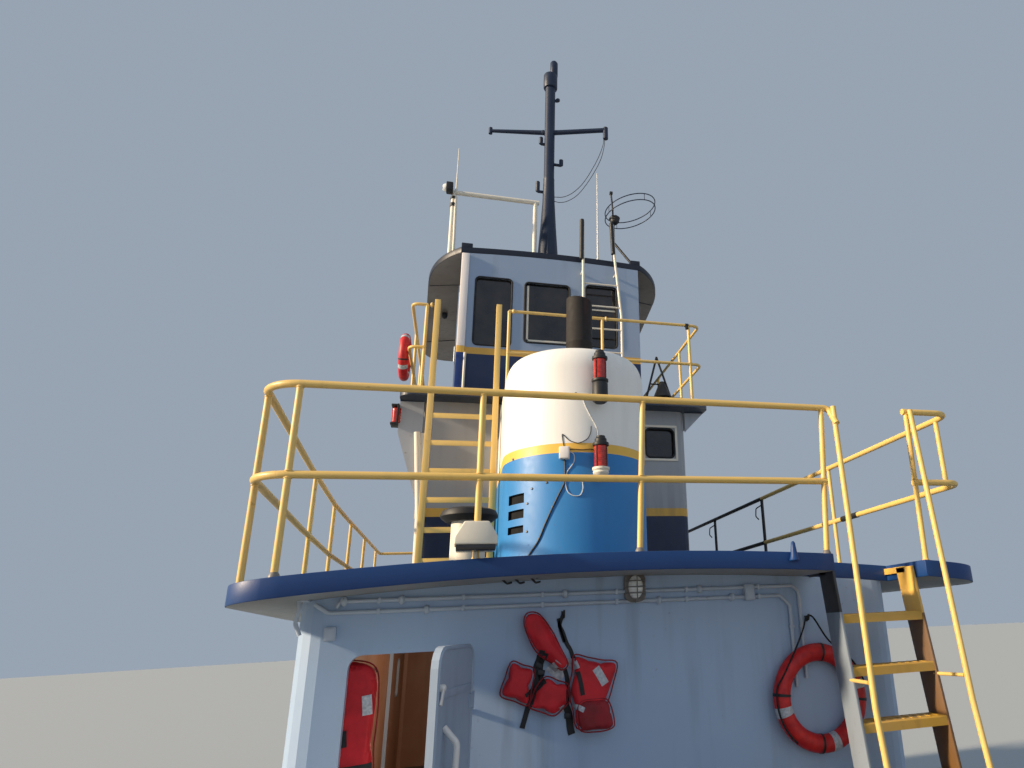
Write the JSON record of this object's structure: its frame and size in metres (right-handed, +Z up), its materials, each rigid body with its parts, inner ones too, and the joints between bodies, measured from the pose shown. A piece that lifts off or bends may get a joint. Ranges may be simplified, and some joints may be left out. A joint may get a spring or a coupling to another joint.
{
  "type": "push tugboat",
  "caption": "Inland push tugboat afloat: raked steel hull, two deck levels, pilothouse, round funnel, yellow rails, ladders, mast and twin screws.",
  "frame": {"origin": "on the centreline at the waterline, amidships", "axes": "+X to starboard, +Y forward, +Z up"},
  "size_m": [6.34, 17.05, 14.43],
  "materials": {
    "hull_paint": "worn matt",
    "house_paint": "weathered satin",
    "stack_paint": "weathered satin",
    "blue_paint": "satin",
    "yellow_paint": "gloss, chipped",
    "white_paint": "satin",
    "black_paint": "matt",
    "machine_paint": "gloss",
    "sooty_steel": "sooty and rusty",
    "bare_steel": "worn",
    "bronze": "dull",
    "rubber": "matt",
    "red_lens": "clear gloss",
    "green_lens": "clear gloss",
    "white_plastic": "gloss",
    "ring_cover": "satin",
    "jacket_cloth": "woven nylon",
    "webbing": "woven",
    "chair_vinyl": "grained",
    "window_glass": "clear",
    "cable_jacket": "matt"
  },
  "bodies": {
    "boat": {"hull": "hull_paint", "fender": "rubber", "tow_knee_starboard": "hull_paint", "tow_knee_port": "hull_paint", "knee_pad_starboard": "rubber", "knee_pad_port": "rubber", "deckhouse": "house_paint", "boat_deck": "blue_paint", "lower_house": "house_paint", "upper_deck": "blue_paint", "pilothouse": "house_paint", "pilothouse_roof": "blue_paint", "stack_casing": "stack_paint", "exhaust_pipe": "sooty_steel", "boat_deck_rail_port": "yellow_paint", "boat_deck_rail_starboard": "yellow_paint", "upper_deck_rail_starboard": "yellow_paint", "upper_deck_rail_port": "yellow_paint", "aft_ladder": "yellow_paint", "upper_ladder": "yellow_paint", "roof_ladder": "white_paint", "mast": "blue_paint", "goalpost": "white_paint", "whip_antenna_port": "white_plastic", "whip_antenna_starboard": "white_plastic", "loop_antenna": "black_paint", "deck_vent": "black_paint", "floodlight": "white_paint", "stack_lantern_upper": "red_lens", "stack_lantern_lower": "red_lens", "sidelight_port": "red_lens", "sidelight_starboard": "green_lens", "cone_marker": "black_paint", "life_ring": "ring_cover", "ring_buoy": "ring_cover", "life_jackets": "jacket_cloth", "inner_jacket": "jacket_cloth", "engine_port": "machine_paint", "engine_starboard": "machine_paint", "winch_frame_port": "black_paint", "winch_frame_starboard": "black_paint", "console": "machine_paint", "helm_chair": "chair_vinyl"},
    "aft_door": {"aft_door": "house_paint"},
    "side_door_port": {"side_door_port": "house_paint"},
    "side_door_starboard": {"side_door_starboard": "house_paint"},
    "lower_house_door": {"lower_house_door": "house_paint"},
    "pilothouse_door_port": {"pilothouse_door_port": "house_paint"},
    "pilothouse_door_starboard": {"pilothouse_door_starboard": "house_paint"},
    "propeller_port": {"propeller_port": "bronze"},
    "propeller_starboard": {"propeller_starboard": "bronze"},
    "rudder_port": {"rudder_port": "hull_paint"},
    "rudder_starboard": {"rudder_starboard": "hull_paint"},
    "winch_drum_port": {"winch_drum_port": "bare_steel"},
    "winch_drum_starboard": {"winch_drum_starboard": "bare_steel"},
    "hatch_lid": {"hatch_lid": "hull_paint"},
    "searchlight": {"searchlight": "white_paint"}
  },
  "joints": [
    {"name": "aft_door_swing", "type": "hinge", "parent": "boat", "child": "aft_door", "pos_m": [-1.02, -4.49, 1.6], "axis": [0, 0, 1], "range_deg": [-75, 20]},
    {"name": "side_door_port_swing", "type": "hinge", "parent": "boat", "child": "side_door_port", "pos_m": [-2.1, 1.5, 1.6], "axis": [0, 0, 1], "range_deg": [0, 110]},
    {"name": "side_door_starboard_swing", "type": "hinge", "parent": "boat", "child": "side_door_starboard", "pos_m": [2.1, 2.26, 1.6], "axis": [0, 0, 1], "range_deg": [0, 110]},
    {"name": "lower_house_door_swing", "type": "hinge", "parent": "boat", "child": "lower_house_door", "pos_m": [1.69, 3.56, 3.9], "axis": [0, 0, 1], "range_deg": [0, 110]},
    {"name": "pilothouse_door_port_slide", "type": "slide", "parent": "boat", "child": "pilothouse_door_port", "axis": [0, 1, 0], "range_m": [0, 0.74]},
    {"name": "pilothouse_door_starboard_slide", "type": "slide", "parent": "boat", "child": "pilothouse_door_starboard", "axis": [0, 1, 0], "range_m": [0, 0.74]},
    {"name": "propeller_port_spin", "type": "hinge", "parent": "boat", "child": "propeller_port", "pos_m": [-1.45, -6.3, -0.75], "axis": [0, 1, 0], "continuous": true},
    {"name": "propeller_starboard_spin", "type": "hinge", "parent": "boat", "child": "propeller_starboard", "pos_m": [1.45, -6.3, -0.75], "axis": [0, 1, 0], "continuous": true},
    {"name": "rudder_port_turn", "type": "hinge", "parent": "boat", "child": "rudder_port", "pos_m": [-1.45, -7, 0], "axis": [0, 0, 1], "range_deg": [-40, 40]},
    {"name": "rudder_starboard_turn", "type": "hinge", "parent": "boat", "child": "rudder_starboard", "pos_m": [1.45, -7, 0], "axis": [0, 0, 1], "range_deg": [-40, 40]},
    {"name": "winch_drum_port_spin", "type": "hinge", "parent": "boat", "child": "winch_drum_port", "pos_m": [-1.5, 6.3, 1.42], "axis": [1, 0, 0], "continuous": true},
    {"name": "winch_drum_starboard_spin", "type": "hinge", "parent": "boat", "child": "winch_drum_starboard", "pos_m": [1.5, 6.3, 1.42], "axis": [1, 0, 0], "continuous": true},
    {"name": "hatch_lid_lift", "type": "hinge", "parent": "boat", "child": "hatch_lid", "pos_m": [0, -6.21, 1.168], "axis": [-1, 0, 0], "range_deg": [0, 95]},
    {"name": "searchlight_pan", "type": "hinge", "parent": "boat", "child": "searchlight", "pos_m": [0, 4.15, 8.485], "axis": [0, 0, 1], "range_deg": [-150, 150]}
  ],
  "couplings": [
    {"joint": "rudder_starboard_turn", "follows": "rudder_port_turn", "ratio": 1}
  ]
}
